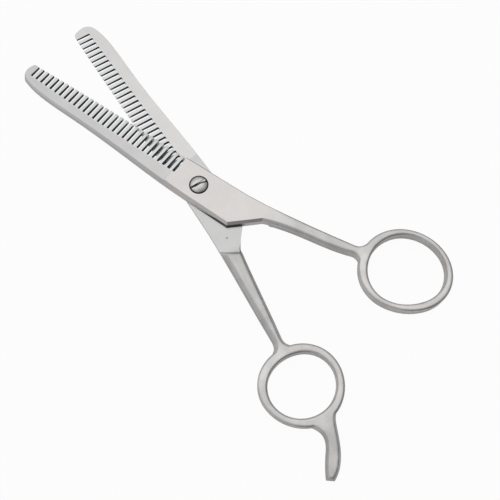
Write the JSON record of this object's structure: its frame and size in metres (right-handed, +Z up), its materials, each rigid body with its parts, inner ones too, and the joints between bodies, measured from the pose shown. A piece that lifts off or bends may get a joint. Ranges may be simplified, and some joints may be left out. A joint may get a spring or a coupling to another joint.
{
  "type": "thinning shears",
  "caption": "Hair thinning shears: toothed blades with oval finger rings turn on a slotted pivot screw, and the lower half carries a curved finger rest.",
  "frame": {"origin": "on the pivot axis, in the plane of the finger half's outer face, which is the face the shears lie on", "axes": "+Z up along the pivot axis, +X from the pivot along the bisector of the open blades towards their tips"},
  "size_m": [0.1724, 0.0801, 0.0059],
  "materials": {
    "thumb_steel": "satin ground stainless steel",
    "finger_steel": "satin ground stainless steel",
    "screw_steel": "turned and slightly polished steel"
  },
  "bodies": {
    "finger_half": {"finger_blade": "finger_steel", "pivot_screw": "screw_steel"},
    "thumb_half": {"thumb_blade": "thumb_steel"}
  },
  "joints": [
    {"name": "blade_pivot", "type": "hinge", "parent": "finger_half", "child": "thumb_half", "pos_m": [0, 0, 0], "axis": [0, 0, 1], "range_deg": [-18.3, 110]}
  ]
}
